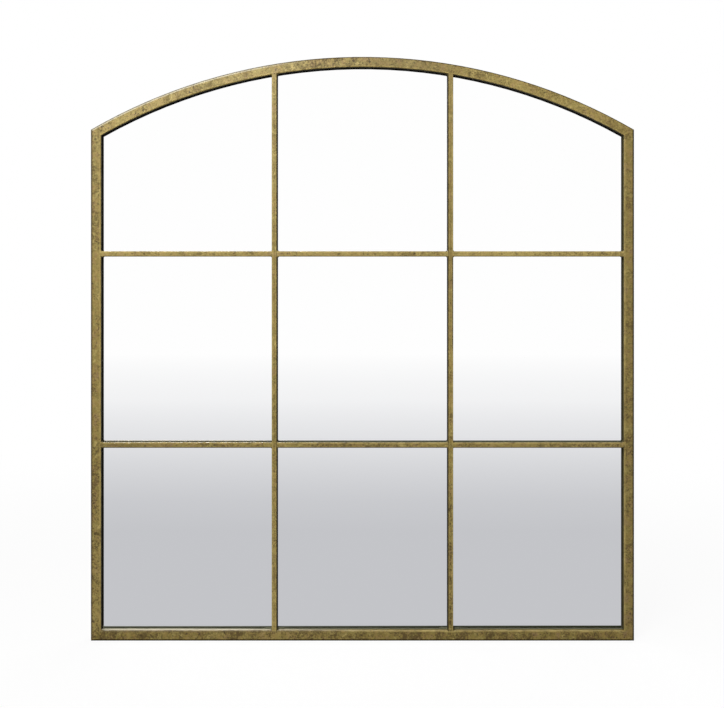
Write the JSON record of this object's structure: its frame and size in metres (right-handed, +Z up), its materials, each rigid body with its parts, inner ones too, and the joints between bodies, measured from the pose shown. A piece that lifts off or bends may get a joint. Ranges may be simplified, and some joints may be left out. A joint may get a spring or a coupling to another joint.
{
  "type": "window mirror",
  "caption": "Arched wall mirror with an antique gold tube frame and glazing bars over mirror glass, a backing board held by turn buttons, and keyhole straps for hanging.",
  "frame": {"origin": "on the wall plane, midway between the round entries of the two hanger keyholes", "axes": "+Z up, +Y from the mirror into the wall, +X to the right for a person who faces the mirror"},
  "size_m": [0.8, 0.026, 0.8599],
  "materials": {
    "antique_gold": "antique gold paint, rubbed back",
    "mirror": "silvered float glass",
    "board": "plain fibre board",
    "foam": "closed cell foam",
    "rubber": "moulded rubber",
    "zinc_steel": "zinc plated"
  },
  "bodies": {
    "frame": {"left_stile": "antique_gold", "right_stile": "antique_gold", "bottom_rail": "antique_gold", "arch_rail": "antique_gold", "left_mullion": "antique_gold", "right_mullion": "antique_gold", "lower_transom_left": "antique_gold", "lower_transom_centre": "antique_gold", "lower_transom_right": "antique_gold", "upper_transom_left": "antique_gold", "upper_transom_centre": "antique_gold", "upper_transom_right": "antique_gold", "crossing_welds": "antique_gold", "bar_end_welds": "antique_gold", "mirror_glass": "mirror", "backing_board": "board", "mullion_cushions": "foam", "transom_cushions": "foam", "setting_blocks": "rubber", "left_bumper": "rubber", "right_bumper": "rubber", "turn_button_screws": "zinc_steel", "left_hanger": "zinc_steel", "right_hanger": "zinc_steel", "hanger_screws": "zinc_steel"},
    "turn_button_left_lower": {"turn_button_left_lower": "zinc_steel"},
    "turn_button_left_upper": {"turn_button_left_upper": "zinc_steel"},
    "turn_button_foot_left": {"turn_button_foot_left": "zinc_steel"},
    "turn_button_right_lower": {"turn_button_right_lower": "zinc_steel"},
    "turn_button_right_upper": {"turn_button_right_upper": "zinc_steel"},
    "turn_button_foot_right": {"turn_button_foot_right": "zinc_steel"},
    "turn_button_arch_left": {"turn_button_arch_left": "zinc_steel"},
    "turn_button_arch_crown": {"turn_button_arch_crown": "zinc_steel"},
    "turn_button_arch_right": {"turn_button_arch_right": "zinc_steel"}
  },
  "joints": [
    {"name": "left_lower_button_pivot", "type": "hinge", "parent": "frame", "child": "turn_button_left_lower", "pos_m": [-0.3925, -0.0053, -0.38979], "axis": [0, 1, 0], "range_deg": [-90, 90]},
    {"name": "left_upper_button_pivot", "type": "hinge", "parent": "frame", "child": "turn_button_left_upper", "pos_m": [-0.3925, -0.0053, -0.10815], "axis": [0, 1, 0], "range_deg": [-90, 90]},
    {"name": "foot_left_button_pivot", "type": "hinge", "parent": "frame", "child": "turn_button_foot_left", "pos_m": [-0.12967, -0.0053, -0.67032], "axis": [0, 1, 0], "range_deg": [-90, 90]},
    {"name": "right_lower_button_pivot", "type": "hinge", "parent": "frame", "child": "turn_button_right_lower", "pos_m": [0.3925, -0.0053, -0.38979], "axis": [0, 1, 0], "range_deg": [-90, 90]},
    {"name": "right_upper_button_pivot", "type": "hinge", "parent": "frame", "child": "turn_button_right_upper", "pos_m": [0.3925, -0.0053, -0.10815], "axis": [0, 1, 0], "range_deg": [-90, 90]},
    {"name": "foot_right_button_pivot", "type": "hinge", "parent": "frame", "child": "turn_button_foot_right", "pos_m": [0.12967, -0.0053, -0.67032], "axis": [0, 1, 0], "range_deg": [-90, 90]},
    {"name": "arch_left_button_pivot", "type": "hinge", "parent": "frame", "child": "turn_button_arch_left", "pos_m": [-0.12967, -0.0053, 0.164], "axis": [0, 1, 0], "range_deg": [-90, 90]},
    {"name": "arch_crown_button_pivot", "type": "hinge", "parent": "frame", "child": "turn_button_arch_crown", "pos_m": [0, -0.0053, 0.17468], "axis": [0, 1, 0], "range_deg": [-90, 90]},
    {"name": "arch_right_button_pivot", "type": "hinge", "parent": "frame", "child": "turn_button_arch_right", "pos_m": [0.12967, -0.0053, 0.164], "axis": [0, 1, 0], "range_deg": [-90, 90]}
  ]
}
